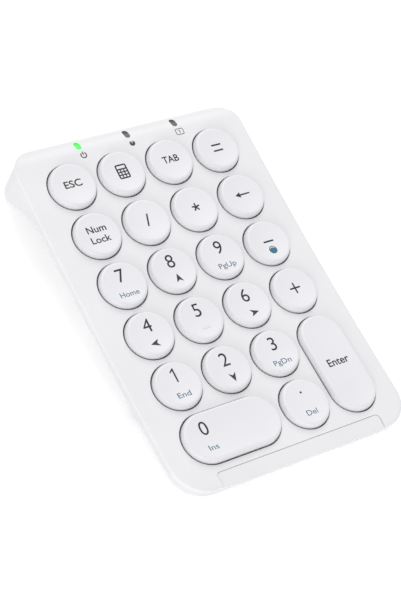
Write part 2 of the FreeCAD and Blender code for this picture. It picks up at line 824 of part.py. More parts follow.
def make_bottom_cover():
    """The lower case: a shell with a hump along its rear, screw posts, and holes for what shows through."""
    parting = size("cover_thickness") + size("parting_gap")
    step = size("parting_step")
    shell = make_shell("lower_solid", parting, size("body_thickness"), 0.0, case_outline(step))

    def on_underside(middle):
        return middle.z < -size("film_top")

    round_edges(shell, "lower_edge", "dims.bottom_edge", on_underside)
    floor = size("body_thickness") - size("floor_wall")
    wall = size("wall")
    hollow = make_shell("lower_hollow", -4, floor, wall, case_outline(step + wall))
    shell.Placement = TILTED
    hollow.Placement = TILTED
    opened = cut_away("lower_shell", shell, [hollow])

    posts = []
    for i, (x, y) in enumerate(CASE_SCREWS):
        low = deck_height(y) - size("body_thickness") + size("post_root")
        posts.append(post("case_post_%d" % i, x, y, low, -size("film_top")))
    low = hump(wall / 2)["toe_end"][1]
    for i, (x, y) in enumerate(BOARD_SCREWS):
        posts.append(post("board_post_%d" % i, x, y, low, BOARD_UNDER))
    standing = fused("lower_posts", opened, posts)

    holes = case_screw_holes() + board_screw_holes()
    gap = 2 * size("mouth_gap")
    start = INNER_REAR - OVERLAP
    mouth = (term("socket_width", 1.0, gap), term("socket_height", 1.0, gap))
    place = (size("socket_place"), start, SOCKET_LEVEL)
    holes.append(slot_bar("socket_mouth", *mouth, "dims.wall + %g" % (4 * OVERLAP), *place))
    window = (term("switch_travel", 1.0, size("knob_width") + gap), term("knob_height", 1.0, gap))
    place = (size("switch_place") + size("switch_travel") / 2, start, SWITCH_LEVEL)
    holes.append(slot_bar("switch_window", *window, "dims.wall + %g" % (4 * OVERLAP), *place))
    holes += front_feet("front_foot_seat", size("foot_gap"))
    holes += rear_feet("rear_foot_seat", size("foot_gap"))
    return cut_away("bottom_cover", standing, holes)


def post(name, x, y, low, high):
    """A screw post between two heights in the deck's frame."""
    return cylinder(name, "dims.boss_radius + dims.post_wall", "%g" % (high - low), x, y, low)


def case_screw_holes():
    """A clearance hole and a countersunk seat for each screw that holds the case together."""
    holes = []
    hole = "dims.screw_radius + dims.hole_gap"
    seat = "dims.screw_head_radius + dims.head_gap"
    depth = "dims.screw_head_sink + %g" % OVERLAP
    for i, (x, y) in enumerate(CASE_SCREWS):
        low = deck_height(y) - size("body_thickness") - OVERLAP
        holes.append(cylinder("case_hole_%d" % i, hole, "dims.case_width", x, y, low))
        holes.append(cylinder("case_head_%d" % i, seat, depth, x, y, low))
    return holes


def board_screw_holes():
    """A blind hole for each screw that holds the board."""
    holes = []
    for i, (x, y) in enumerate(BOARD_SCREWS):
        low = BOARD_UNDER - size("board_screw_length")
        pilot = "dims.screw_radius + dims.pilot_gap"
        holes.append(cylinder("board_hole_%d" % i, pilot, "dims.board_screw_length", x, y, low))
    return holes


def screw(name, x, y, head_z, length, up):
    """A pan-head screw. head_z is where head and shank meet; up is 1 when the shank points up."""
    head = size("screw_head_height")
    shank_low = head_z if up > 0 else head_z - length
    head_low = head_z - head if up > 0 else head_z
    shank = cylinder(name + "_shank", "dims.screw_radius", "%g" % length, x, y, shank_low)
    cap = cylinder(name + "_head", "dims.screw_head_radius", "dims.screw_head_height", x, y, head_low)
    return fused(name, cap, [shank])


def make_light(label, x):
    """A light pipe: a slot-shaped window flush with the rounded rear, on a narrower stem to its lamp."""
    body = new_body(label)
    middle = size("light_place")
    width = size("light_width")
    sink = size("light_sink")
    window = new_sketch(body, "XY_Plane", label + "_window")
    run = term("light_length", 1.0, -width)
    draw_slot(window, 0.0, middle, term("light_width", 0.5, -size("light_gap")), run, True)
    pad_down(body, window, "-dims.cap_rise", "dims.light_foot", label + "_window_pad")
    stem = new_sketch(body, "XY_Plane", label + "_stem")
    stem_run = term("light_length", 0.5, -width / 2)
    draw_slot(stem, 0.0, middle, term("light_width", 0.5, -size("light_stem_inset")), stem_run, True)
    pad_down(body, stem, "dims.light_foot - %g" % OVERLAP, "dims.light_drop", label + "_stem_pad")
    above = new_sketch(body, "YZ_Plane", label + "_face")
    front = size("rear_round_start")
    rear = size("case_rear")
    face = [on_rear_round(y, sink) for y in (front, (front + rear) / 2, rear)]
    over = [(rear, face[0][1] + width), (front, face[0][1] + width)]
    draw_loop(above, [tuple(face), (face[-1], over[0]), (over[0], over[1]), (over[1], face[0])])
    cut_through(body, above, label + "_face_cut")
    body.Placement = tilted().multiply(FreeCAD.Placement(V(x, 0, 0), FreeCAD.Rotation()))
    return body


def make_cap(label, radius_extra, run):
    """A keycap: a thin shell with a dished top and a rounded rim, stretched along y when it is long."""
    outer = size("cap_radius") + radius_extra
    inner = outer - size("cap_wall")
    rise = size("cap_rise")
    edge = size("cap_edge_drop")
    rim = outer - size("cap_rim")
    side = outer - size("cap_side_draft")
    hollow = rise - size("cap_dish")
    ceiling = size("cap_ceiling")
    skirt = -size("cap_skirt")
    turn = math.sqrt(0.5)
    shoulder = (rim + (side - rim) * turn, rise - edge + edge * turn)
    crest = (rim - size("cap_crest_width"), rise - size("cap_crest_drop"))
    dip = crest[1] - hollow
    dish = (crest[0] ** 2 + dip**2) / (2 * dip)
    middle = math.asin(crest[0] / dish) / 2
    dish_mid = (dish * math.sin(middle), hollow + dish * (1 - math.cos(middle)))

    def mirrored(points):
        return tuple((-p[0], p[1]) for p in reversed(points))

    right = [
        ((outer, skirt), (outer, rise / 3)),
        ((outer, rise / 3), (side, rise - edge)),
        ((side, rise - edge), shoulder, (rim, rise)),
        ((rim, rise), crest),
        (crest, dish_mid, (0.0, hollow)),
    ]
    body = new_body(label)
    if run:
        profile = new_sketch(body, "XZ_Plane", label + "_section")
        under = [((-outer, skirt), (-inner, skirt)), ((-inner, skirt), (-inner, ceiling))]
        under.append(((-inner, ceiling), (inner, ceiling)))
        under += [((inner, ceiling), (inner, skirt)), ((inner, skirt), (outer, skirt))]
        left = [mirrored(points) for points in reversed(right)]
        draw_loop(profile, right + left + under)
        pad(body, profile, "%s" % run[1], label + "_length")
    half = right + [((0.0, hollow), (0.0, ceiling)), ((0.0, ceiling), (inner, ceiling))]
    half += [((inner, ceiling), (inner, skirt)), ((inner, skirt), (outer, skirt))]
    ends = (1, -1) if run else (0,)
    for end in ends:
        sketch = new_sketch(body, "XZ_Plane", "%s_round_%d" % (label, end + 1))
        draw_loop(sketch, half)
        if run:
            sketch.setExpression("AttachmentOffset.Base.z", "(%s) * %g" % (run[1], end / 2))
        before = body.Shape.Volume if run else 0.0
        feature = body.newObject("PartDesign::Revolution", "%s_turn_%d" % (label, end + 1))
        feature.Profile = sketch
        feature.ReferenceAxis = (sketch, ["V_Axis"])
        feature.Angle = 180 if run else 360
        DOC.recompute()
        if run and body.Shape.BoundBox.YLength < run[0] + (2 if end == -1 else 1) * outer - 0.01:
            feature.Reversed = True
            DOC.recompute()
        if not body.Shape.Volume > before:
            raise RuntimeError("%s gained nothing at its end" % label)
    return body


def place_cap(body, x, y, quarter_turn):
    turn = FreeCAD.Placement(V(0, 0, 0), FreeCAD.Rotation(Z_AXIS, 90 if quarter_turn else 0))
    body.Placement = on_deck(x, y).multiply(turn)


def make_caps():
    """All the keycaps, each in a node of its own."""
    extra = size("front_key_extra")
    for name, x, y, kind in KEYS:
        if kind == "round":
            body = make_cap(name, 0.0, None)
        elif kind == "deep":
            body = make_cap(name, 0.0, term("front_key_extra"))
        elif kind == "tall":
            body = make_cap(name, 0.0, term("front_key_extra", 1.0, PITCH))
        else:
            body = make_cap(name, extra / 2, term("front_key_extra", -1.0, PITCH))
        place_cap(body, x, y, kind == "wide")


def make_layer(label, depth, thickness):
    """One layer of the switch sheet, or the steel plate under it, with a hole at each screw boss."""
    outline = (
        term("layer_half_width"),
        term("layer_half_width"),
        term("layer_front"),
        term("layer_rear"),
        term("layer_corner"),
        term("layer_corner"),
    )
    body = curved_plate(label, depth, thickness, outline)
    holes = new_sketch(body, "XY_Plane", label + "_holes")
    for x, y in PLATE_SCREWS:
        draw_circle(holes, x, y, term("screw_radius", 1.0, size("hole_gap")))
    cut_through(body, holes, label + "_holes_cut")
    body.Placement = TILTED
    return body


def make_layers():
    film = size("film_thickness")
    top = size("film_top")
    for i, label in enumerate(("membrane_top_film", "membrane_spacer", "membrane_bottom_film")):
        make_layer(label, top + i * film, film)
    make_layer("key_base_plate", top + 3 * film, size("plate_thickness"))


def dome_shape():
    """A rubber dome: a flange on the switch sheet, a sloping wall and a flat crown under the cap."""
    foot = size("dome_gap") - size("film_top")
    crown = size("dome_crown")
    wide = size("dome_radius")
    flange = size("dome_flange")
    top = size("cap_ceiling") - size("dome_gap")
    wall = size("dome_wall")
    edge = foot + size("dome_foot")
    core = top - size("dome_core")
    outline = [
        (0, top),
        (crown, top),
        (crown, top - size("dome_neck")),
        (wide, edge),
        (flange, edge),
        (flange, foot),
        (wide - wall, foot),
        (crown - wall, core),
        (0, core),
    ]
    points = [V(r, 0, z) for r, z in outline]
    face = Part.Face(Part.makePolygon(points + points[:1]))
    return face.revolve(V(0, 0, 0), Z_AXIS, 360)


def link_middle():
    """Height of the scissor's pivot: half way between the switch sheet and the cap's ceiling."""
    return (size("cap_ceiling") - size("film_top")) / 2


def link_frame(half_width):
    """A rectangular link, flat, with its pivot axis along x through the origin."""
    reach = size("link_half_length")
    bar = size("link_bar")
    thick = size("link_thickness")
    frame = Part.makeBox(2 * half_width, 2 * reach, thick, V(-half_width, -reach, -thick / 2))
    inside = half_width - bar
    window = Part.makeBox(2 * inside, 2 * (reach - bar), thick, V(-inside, bar - reach, -thick / 2))
    return frame.cut(window)


def pin(radius, start, end):
    return Part.makeCylinder(radius, end - start, V(start, 0, 0), X_AXIS)


def outer_link_shape():
    """The wider scissor link. Its side arms hold the other link's pins."""
    half_width = size("link_half_width")
    frame = link_frame(half_width).cut(pin(size("link_eye"), -half_width, half_width))
    frame.rotate(V(0, 0, 0), X_AXIS, size("link_angle"))
    frame.translate(V(0, 0, link_middle()))
    return frame


def inner_link_shape():
    """The narrower scissor link, crossed through the wider one, with a pivot pin on each side."""
    arm = size("link_half_width") - size("link_bar") - size("link_gap")
    frame = link_frame(arm)
    for side in (-1, 1):
        start = side * (arm - size("link_gap"))
        end = side * (arm + size("link_bar"))
        frame = frame.fuse(pin(size("link_pin"), min(start, end), max(start, end)))
    frame.rotate(V(0, 0, 0), X_AXIS, -size("link_angle"))
    frame.translate(V(0, 0, link_middle()))
    return frame


def one_per_key(label, shape):
    """Separate copies of a shape, one under each key, in one node."""
    copies = []
    for _, x, y, _ in KEYS:
        copy = shape.copy()
        copy.transformShape(on_deck(x, y).toMatrix())
        copies.append(copy)
    node = DOC.addObject("Part::Feature", label)
    node.Shape = Part.makeCompound(copies)
    node.Placement = FreeCAD.Placement()
    node.Label = label
    return node


def stabiliser_pivot():
    """The hinge line of a stabiliser bar in its key's frame, as (across, height)."""
    across = size("wire_side") - size("wire_leg_run")
    return across, -size("film_top") + size("wire_radius") + size("wire_gap")


def make_stabiliser(label, x, y, quarter_turn):
    """A bent wire under a long key: a bar along the key and two legs down to their hooks."""
    across, low = stabiliser_pivot()
    reach = size("wire_reach")
    far = (size("wire_side"), low + size("wire_leg_rise"))
    route = [V(-reach + size("wire_hook"), across, low), V(-reach, across, low), V(-reach, far[0], far[1])]
    route += [V(-p.x, p.y, p.z) for p in reversed(route)]
    solids = []
    radius = size("wire_radius")
    for start, end in zip(route, route[1:]):
        solids.append(Part.makeCylinder(radius, (end - start).Length, start, end - start))
    for corner in route[1:-1]:
        solids.append(Part.makeSphere(radius, corner))
    node = DOC.addObject("Part::Feature", label)
    node.Shape = solids[0].multiFuse(solids[1:])
    turn = FreeCAD.Placement(V(0, 0, 0), FreeCAD.Rotation(Z_AXIS, 90 if quarter_turn else 0))
    node.Placement = on_deck(x, y).multiply(turn)
    node.Label = label
    return node


def on_board(name, below=False):
    """A box soldered to the board, whose sizes and place are the cells that start with its name."""
    level = BOARD_UNDER - size(name + "_height") if below else -size("board_top")
    sizes = ["dims.%s_%s" % (name, part) for part in ("width", "depth", "height")]
    return box(name, *sizes, size(name + "_place"), size(name + "_front"), level)


def make_board():
    """The circuit board, with a hole for each of its screws."""
    depth = "dims.board_rear - dims.board_front"
    place = (0.0, size("board_front"), BOARD_UNDER)
    blank = box("board_blank", "dims.board_width", depth, "dims.board_thickness", *place)
    low = BOARD_UNDER - size("board_thickness") / 2
    hole = "dims.screw_radius + dims.hole_gap"
    holes = [
        cylinder("board_drill_%d" % i, hole, "2 * dims.board_thickness", x, y, low)
        for i, (x, y) in enumerate(BOARD_SCREWS)
    ]
    cut_away("circuit_board", blank, holes)


def make_battery():
    """The cell that lies under the board, and its two leads to their connector."""
    low = BOARD_UNDER - size("battery_gap") - size("battery_height")
    place = (0.0, size("battery_front"), low)
    box("battery", "dims.battery_length", "dims.battery_width", "dims.battery_height", *place)
    on_board("battery_connector", below=True)
    start = size("battery_connector_front") + size("battery_connector_depth")
    leads = []
    for i, side in enumerate((-1, 1)):
        lead = DOC.addObject("Part::Cylinder", "battery_lead_%d" % i)
        lead.setExpression("Radius", "dims.lead_radius")
        lead.setExpression("Height", "dims.battery_front - %g" % start)
        x = size("battery_connector_place") + side * size("lead_spread")
        end = V(x, start, BOARD_UNDER - size("lead_drop"))
        lead.Placement = TILTED.multiply(FreeCAD.Placement(end, FreeCAD.Rotation(X_AXIS, -90)))
        leads.append(lead)
    group("battery_leads", leads)


def make_electronics():
    """The board in the hump with what is soldered to it, and the cell that feeds it."""
    make_board()
    for name in ("microcontroller", "crystal", "ribbon_connector"):
        on_board(name)
    top = -size("board_top")
    chips = []
    for i, x in enumerate(LIGHTS):
        sizes = ("dims.led_width", "dims.led_depth", "dims.led_height")
        chips.append(box("led_chip_%d" % i, *sizes, x, size("led_front"), top))
    group("led_chips", chips)
    place = (size("ribbon_connector_place"), size("tail_front"), top + size("ribbon_connector_height"))
    box("membrane_tail", "dims.tail_width", "dims.film_thickness", "dims.tail_height", *place)
    make_battery()


def make_socket():
    """The charging socket: a shell of slot section, closed at its inner end, with a tongue in its mouth."""
    x = size("socket_place")
    front = REAR_FACE - size("socket_depth")
    width, height = term("socket_width"), term("socket_height")
    outer = slot_bar("socket_shell", width, height, "dims.socket_depth", x, front, SOCKET_LEVEL)
    thin = -2 * size("socket_shell")
    width, height = term("socket_width", 1.0, thin), term("socket_height", 1.0, thin)
    back = front + size("socket_back")
    bore = slot_bar("socket_bore", width, height, "dims.socket_depth", x, back, SOCKET_LEVEL)
    shell = cut_away("socket_housing", outer, [bore])
    low = SOCKET_LEVEL - size("tongue_height") / 2
    depth = "dims.socket_depth - dims.socket_back - dims.socket_shell"
    middle = front + size("socket_back") / 2
    tongue = box("socket_tongue", "dims.tongue_width", depth, "dims.tongue_height", x, middle, low)
    fused("usb_socket", shell, [tongue])


def make_switch():
    """The slide switch: a body under the board and a knob that stands a little out of the rear face."""
    x = size("switch_place")
    middle = x + size("switch_travel") / 2
    depth = size("switch_groove_depth")
    low = BOARD_UNDER - size("switch_height")
    sizes = ("dims.switch_width", "dims.switch_depth", "dims.switch_height")
    gap = size("knob_gap")
    body = box("switch_blank", *sizes, middle, INNER_REAR - size("switch_depth") - 2 * gap, low)
    run = "dims.knob_width + dims.switch_travel + 2 * dims.knob_gap"
    sizes = (run, "dims.switch_depth", "dims.knob_height + dims.knob_gap")
    level = SWITCH_LEVEL - (size("knob_height") + gap) / 2
    groove = box("switch_groove", *sizes, middle, INNER_REAR - depth, level)
    cut_away("power_switch_body", body, [groove])
    knob = (term("knob_width"), term("knob_height", 1.0, -gap))
    start = gap - depth
    length = "dims.wall + dims.knob_proud - %g" % start
    slot_bar("power_switch_knob", *knob, length, x, INNER_REAR + start, SWITCH_LEVEL)


def make_fasteners():
    """Screws for the case, the switch plate and the board."""
    tip = -size("cover_thickness") - size("screw_tip_gap")
    case = []
    for i, (x, y) in enumerate(CASE_SCREWS):
        under = deck_height(y) - size("body_thickness") + size("screw_head_sink")
        length = tip - under
        case.append(screw("case_screw_%d" % i, x, y, under, length, 1))
    group("case_screws", case)
    plate = []
    layers = 3 * size("film_thickness") + size("plate_thickness")
    plate_under = size("film_top") + layers + size("screw_head_gap")
    for i, (x, y) in enumerate(PLATE_SCREWS):
        under = deck_height(y) - plate_under
        length = tip - under
        plate.append(screw("plate_screw_%d" % i, x, y, under, length, 1))
    group("plate_screws", plate)
    board = [
        screw("board_screw_%d" % i, x, y, -size("board_top"), size("board_screw_length"), -1)
        for i, (x, y) in enumerate(BOARD_SCREWS)
    ]
    group("board_screws", board)


def make_all():
    make_top_cover().Placement = TILTED
    make_front_trim().Placement = TILTED
    make_bottom_cover()
    for label, x in zip(LIGHT_LABELS, LIGHTS):
        make_light(label, x)
    make_caps()
    make_layers()
    one_per_key("rubber_domes", dome_shape())
    one_per_key("scissor_outer_links", outer_link_shape())
    one_per_key("scissor_inner_links", inner_link_shape())
    places = {name: (x, y) for name, x, y, _ in KEYS}
    make_stabiliser("zero_stabiliser_bar", *places["key_0"], False)
    make_stabiliser("enter_stabiliser_bar", *places["key_enter"], True)
    make_electronics()
    make_socket()
    make_switch()
    make_fasteners()
    group("front_feet", front_feet("front_foot", 0.0))
    group("rear_feet", rear_feet("rear_foot", 0.0))
    DOC.recompute()


NODES = [name for name, _, _, _ in KEYS] + list(LIGHT_LABELS) + [
    "top_cover",
    "bottom_cover",
    "front_trim",
    "membrane_top_film",
    "membrane_spacer",
    "membrane_bottom_film",
    "key_base_plate",
    "rubber_domes",
    "scissor_outer_links",
    "scissor_inner_links",
    "zero_stabiliser_bar",
    "enter_stabiliser_bar",
    "circuit_board",
    "microcontroller",
    "crystal",
    "led_chips",
    "ribbon_connector",
    "membrane_tail",
    "battery",
    "battery_connector",
    "battery_leads",
    "usb_socket",
    "power_switch_body",
    "power_switch_knob",
    "case_screws",
    "plate_screws",
    "board_screws",
    "front_feet",
    "rear_feet",
]

make_all()
for item in DOC.Objects:
    if "Invalid" in item.State or "Error" in item.State:
        raise RuntimeError("%s did not recompute" % item.Name)
os.makedirs("parts", exist_ok=True)
for label in NODES:
    node = DOC.getObjectsByLabel(label)[0]
    if node.Shape.isNull() or not node.Shape.isValid():
        raise RuntimeError("%s has no valid shape" % label)
    print("%s: %d solid(s), %.1f mm3" % (label, len(node.Shape.Solids), node.Shape.Volume))
    node.Shape.exportStep("parts/%s.step" % label)
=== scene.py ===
import json
import math

import bpy
from mathutils import Matrix, Vector


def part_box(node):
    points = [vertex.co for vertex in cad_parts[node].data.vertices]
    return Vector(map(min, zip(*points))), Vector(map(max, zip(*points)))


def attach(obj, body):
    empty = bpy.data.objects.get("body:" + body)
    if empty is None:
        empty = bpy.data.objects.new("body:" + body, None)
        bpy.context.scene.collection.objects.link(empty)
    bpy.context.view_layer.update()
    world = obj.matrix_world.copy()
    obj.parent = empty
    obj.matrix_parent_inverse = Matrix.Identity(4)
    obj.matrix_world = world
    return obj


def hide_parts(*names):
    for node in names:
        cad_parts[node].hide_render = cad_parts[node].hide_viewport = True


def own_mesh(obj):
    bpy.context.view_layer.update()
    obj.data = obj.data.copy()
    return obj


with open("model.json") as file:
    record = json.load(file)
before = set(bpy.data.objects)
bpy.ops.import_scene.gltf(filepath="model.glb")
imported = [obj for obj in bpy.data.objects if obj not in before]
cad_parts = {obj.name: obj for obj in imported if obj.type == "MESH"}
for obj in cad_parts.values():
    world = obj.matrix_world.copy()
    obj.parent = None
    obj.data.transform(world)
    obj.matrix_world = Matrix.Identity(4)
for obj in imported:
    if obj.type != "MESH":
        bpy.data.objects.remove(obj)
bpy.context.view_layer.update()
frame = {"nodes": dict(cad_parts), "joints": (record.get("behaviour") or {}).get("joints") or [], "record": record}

# The keypad's own sizes, in metres. Places come from the frame; these are the sizes of what is added to it.

MM = 0.001
TILT = math.radians(5.6)
CAP_WALL = 1.0 * MM
CAP_CEILING = 1.6 * MM
CAP_HEIGHT = 3.0 * MM
CAP_DISH = 0.4 * MM
CAP_RIM = 1.0 * MM
CAP_EDGE_DROP = 0.8 * MM
CAP_SIDE_DRAFT = 0.2 * MM
CAP_CREST_WIDTH = 0.25 * MM
CAP_CREST_DROP = 0.015 * MM
CAP_NICK = 0.1 * MM
CAP_MIDDLE_HOLE = 0.3 * MM
RIM_STEPS = 8
DISH_STEPS = 12
ROUND_STEPS = 96
INK_LIFT = 0.012 * MM
RAY_START = 20 * MM
ISLAND_MARGIN = 0.3 * MM

# Where the lettering stands on a key, and how big it is, in millimetres.

MAIN_Y = 3.1
SUB_Y = -3.8
PAIR_SHIFT = 9.5
DIGIT_HEIGHT = 4.9
SUB_HEIGHT = 2.0
HEAVY = 0.016
SUB_HEAVY = 0.004

# The signs in front of the status lights: how far ahead of them, and how the rear edge leans there.

SIGN_AHEAD = 2.35 * MM
LIGHT_LEAN = math.radians(3.5)

NODES = frame["nodes"]
PRESS = {j["child"]: j for j in frame["joints"] if j["name"].endswith("_press")}
KEYS = sorted(PRESS)


# ---- placing ---------------------------------------------------------------------------------------


def key_frame(name):
    """The key's own axes as a matrix: x to the right, z out of the cap, origin at its skirt's foot."""
    out = -Vector(PRESS[name]["axis"])
    right = Vector((1, 0, 0))
    rear = out.cross(right)
    turn = Matrix((right, rear, out))
    corners = [turn @ v.co for v in NODES[name].data.vertices]
    low = Vector([min(c[i] for c in corners) for i in range(3)])
    high = Vector([max(c[i] for c in corners) for i in range(3)])
    foot = turn.transposed() @ Vector(((low.x + high.x) / 2, (low.y + high.y) / 2, low.z))
    place = turn.transposed().to_4x4()
    place.translation = foot
    return place, (high.x - low.x) / 2, (high.y - low.y) / 2


# ---- materials -------------------------------------------------------------------------------------


def new_material(name):
    """A new material, with its node tree and its shader."""
    material = bpy.data.materials.new(name)
    material.use_nodes = True
    tree = material.node_tree
    return material, tree, tree.nodes["Principled BSDF"]


def add_node(tree, kind, **inputs):
    """A new node with some of its inputs set."""
    node = tree.nodes.new(kind)
    for key, value in inputs.items():
        node.inputs[key.replace("_", " ")].default_value = value
    return node


def noise(tree, scale, detail=3.0, roughness=0.5):
    """Noise over the object's own coordinates, in cells per metre."""
    place = tree.nodes.new("ShaderNodeTexCoord")
    node = add_node(tree, "ShaderNodeTexNoise", Scale=scale, Detail=detail, Roughness=roughness)
    tree.links.new(place.outputs["Object"], node.inputs["Vector"])
    return node.outputs["Fac"]


def ramp(tree, source, low, high, start=0.35, end=0.65):
    """Colours between low and high, by a value that runs between start and end."""
    node = tree.nodes.new("ShaderNodeValToRGB")
    node.color_ramp.elements[0].position = start
    node.color_ramp.elements[0].color = (*low, 1)
    node.color_ramp.elements[1].position = end
    node.color_ramp.elements[1].color = (*high, 1)
    tree.links.new(source, node.inputs["Fac"])
    return node.outputs["Color"]


def spread(tree, source, low, high):
    """The same range of values, moved to lie between low and high."""
    node = tree.nodes.new("ShaderNodeMapRange")
    node.inputs["To Min"].default_value = low
    node.inputs["To Max"].default_value = high
    tree.links.new(source, node.inputs["Value"])
    return node.outputs["Result"]


def bump(tree, shader, height, depth, strength=0.5):
    """A fine relief from a value between 0 and 1, with its depth in metres."""
    node = add_node(tree, "ShaderNodeBump", Strength=strength, Distance=depth)
    tree.links.new(height, node.inputs["Height"])
    tree.links.new(node.outputs["Normal"], shader.inputs["Normal"])


def shaded(colour, factor):
    """The colour made lighter or darker."""
    return tuple(min(1.0, c * factor) for c in colour)


def plastic(name, colour, roughness, grain=0.00003, cells=9000.0, drift=0.012):
    """Moulded plastic: a fine spark-eroded grain, a slow drift of tone and an uneven gloss."""
    material, tree, shader = new_material(name)
    slow = noise(tree, 60.0, 2.0)
    fine = noise(tree, cells, 2.0, 0.6)
    tone = ramp(tree, slow, shaded(colour, 1 - drift), shaded(colour, 1 + drift))
    tree.links.new(tone, shader.inputs["Base Color"])
    gloss = spread(tree, noise(tree, 900.0, 3.0), roughness - 0.04, roughness + 0.06)
    tree.links.new(gloss, shader.inputs["Roughness"])
    bump(tree, shader, fine, grain, 0.12)
    shader.inputs["IOR"].default_value = 1.49
    return material


def metal(name, colour, roughness, stretch=(40.0, 4000.0, 4000.0)):
    """Drawn or brushed metal, with fine lines along x."""
    material, tree, shader = new_material(name)
    place = tree.nodes.new("ShaderNodeTexCoord")
    mapping = tree.nodes.new("ShaderNodeMapping")
    mapping.inputs["Scale"].default_value = stretch
    lines = add_node(tree, "ShaderNodeTexNoise", Scale=1.0, Detail=4.0)
    tree.links.new(place.outputs["Object"], mapping.inputs["Vector"])
    tree.links.new(mapping.outputs["Vector"], lines.inputs["Vector"])
    tone = ramp(tree, lines.outputs["Fac"], shaded(colour, 0.86), shaded(colour, 1.1))
    tree.links.new(tone, shader.inputs["Base Color"])
    gloss = spread(tree, lines.outputs["Fac"], roughness - 0.08, roughness + 0.12)
    tree.links.new(gloss, shader.inputs["Roughness"])
    bump(tree, shader, lines.outputs["Fac"], 0.00002, 0.3)
    shader.inputs["Metallic"].default_value = 1.0
    return material


def rubber(name, colour):
    """Soft matt rubber with a leathery fine grain and slightly dusty patches."""
    material, tree, shader = new_material(name)
    dust = noise(tree, 500.0, 4.0)
    tone = ramp(tree, dust, shaded(colour, 0.9), shaded(colour, 1.12))
    tree.links.new(tone, shader.inputs["Base Color"])
    gloss = spread(tree, dust, 0.68, 0.85)
    tree.links.new(gloss, shader.inputs["Roughness"])
    bump(tree, shader, noise(tree, 3500.0, 3.0, 0.7), 0.00008, 0.4)
    return material


def light_window(name, colour, glow):
    """A light pipe's face: tinted plastic with a cloudy tone, lit from behind when it glows."""
    material, tree, shader = new_material(name)
    cloud = noise(tree, 1800.0, 2.0)
    tone = ramp(tree, cloud, shaded(colour, 0.8), shaded(colour, 1.25))
    tree.links.new(tone, shader.inputs["Base Color"])
    tree.links.new(spread(tree, cloud, 0.2, 0.32), shader.inputs["Roughness"])
    if glow:
        tree.links.new(tone, shader.inputs["Emission Color"])
        shader.inputs["Emission Strength"].default_value = glow
    bump(tree, shader, cloud, 0.00003, 0.3)
    return material


def ink(name, colour):
    """Pad-printed ink: slightly uneven in tone and satin."""
    material, tree, shader = new_material(name)
    patch = noise(tree, 2600.0, 3.0)
    tone = ramp(tree, patch, shaded(colour, 0.85), shaded(colour, 1.2))
    tree.links.new(tone, shader.inputs["Base Color"])
    tree.links.new(spread(tree, patch, 0.42, 0.55), shader.inputs["Roughness"])
    bump(tree, shader, patch, 0.00001, 0.3)
    return material


CASE = plastic("case_plastic", (0.785, 0.785, 0.800), 0.42)
CAP = plastic("cap_plastic", (0.775, 0.770, 0.800), 0.34, grain=0.00002, cells=11000.0)
# The bottom cover's plastic is a darker copy of the case plastic: painted shade, so that its outline stands out
# against the white floor.
SHADED_LOWER_CASE = plastic("lower_case_painted_shade", (0.715, 0.715, 0.735), 0.42)
TRIM = plastic("trim_plastic", (0.790, 0.790, 0.812), 0.40)
DARK_INK = ink("dark_ink", (0.012, 0.012, 0.015))
BLUE_INK = ink("blue_ink", (0.035, 0.13, 0.21))
WHITE_INK = ink("white_ink", (0.84, 0.84, 0.86))
SIGN_INK = ink("sign_ink", (0.045, 0.045, 0.052))

MATERIALS = {
    "case_white": CASE,
    "keycap_white": CAP,
    "trim_grey": TRIM,
    "light_green": light_window("lit_window", (0.01, 0.85, 0.02), 1.6),
    "light_dark": light_window("dark_window", (0.030, 0.030, 0.034), 0.0),
    "switch_film": plastic("film_plastic", (0.62, 0.66, 0.69), 0.22, drift=0.06),
    "plate_steel": metal("plate_steel", (0.55, 0.56, 0.58), 0.34),
    "dome_rubber": rubber("dome_rubber", (0.62, 0.62, 0.60)),
    "link_plastic": plastic("link_plastic", (0.70, 0.70, 0.67), 0.42),
    "wire_steel": metal("wire_steel", (0.60, 0.60, 0.61), 0.28),
    "board_green": plastic("board_mask", (0.012, 0.085, 0.035), 0.30, drift=0.2),
    "chip_black": plastic("chip_epoxy", (0.018, 0.018, 0.020), 0.5, grain=0.0001),
    "crystal_can": metal("crystal_can", (0.70, 0.70, 0.69), 0.25),
    "led_body": plastic("led_body", (0.78, 0.74, 0.55), 0.35),
    "connector_cream": plastic("connector_plastic", (0.72, 0.67, 0.52), 0.4),
    "battery_foil": metal("battery_foil", (0.62, 0.63, 0.65), 0.3, (900.0, 900.0, 900.0)),
    "lead_red": plastic("lead_insulation", (0.35, 0.02, 0.02), 0.4),
    "socket_steel": metal("socket_steel", (0.58, 0.58, 0.60), 0.27),
    "switch_black": plastic("switch_plastic", (0.022, 0.022, 0.024), 0.45),
    "screw_steel": metal("screw_steel", (0.36, 0.36, 0.38), 0.32),
    "foot_rubber": rubber("foot_rubber", (0.38, 0.38, 0.39)),
}


def dress_nodes():
    """Gives every CAD node the material of its slot, and the bottom cover a darker copy of the case plastic as
    painted shade.
    """
    slots = {p["node"]: p["material_slot"] for p in frame["record"]["subparts"]}
    for name, node in NODES.items():
        node.data.materials.clear()
        node.data.materials.append(MATERIALS[slots[name]])
    # The bottom cover takes the darker copy of the case plastic, as painted shade along its outline.
    NODES["bottom_cover"].data.materials[0] = SHADED_LOWER_CASE


dress_nodes()

# ---- meshes ----------------------------------------------------------------------------------------


def new_object(name, vertices, faces, material, smooth=True):
    """A mesh object in the scene, made of these vertices and faces."""
    mesh = bpy.data.meshes.new(name)
    mesh.from_pydata([tuple(v) for v in vertices], [], faces)
    mesh.validate()
    mesh.materials.append(material)
    mesh.shade_smooth() if smooth else mesh.shade_flat()
    thing = bpy.data.objects.new(name, mesh)
    bpy.context.scene.collection.objects.link(thing)
    return thing


def oval(radius, run_x, run_y):
    """Points round a circle that is pulled out along x or y, anticlockwise."""
    points = []
    for i in range(ROUND_STEPS):
        angle = 2 * math.pi * (i + 0.5) / ROUND_STEPS
        c, s = math.cos(angle), math.sin(angle)
        points.append((radius * c + math.copysign(run_x, c), radius * s + math.copysign(run_y, s)))
    return points


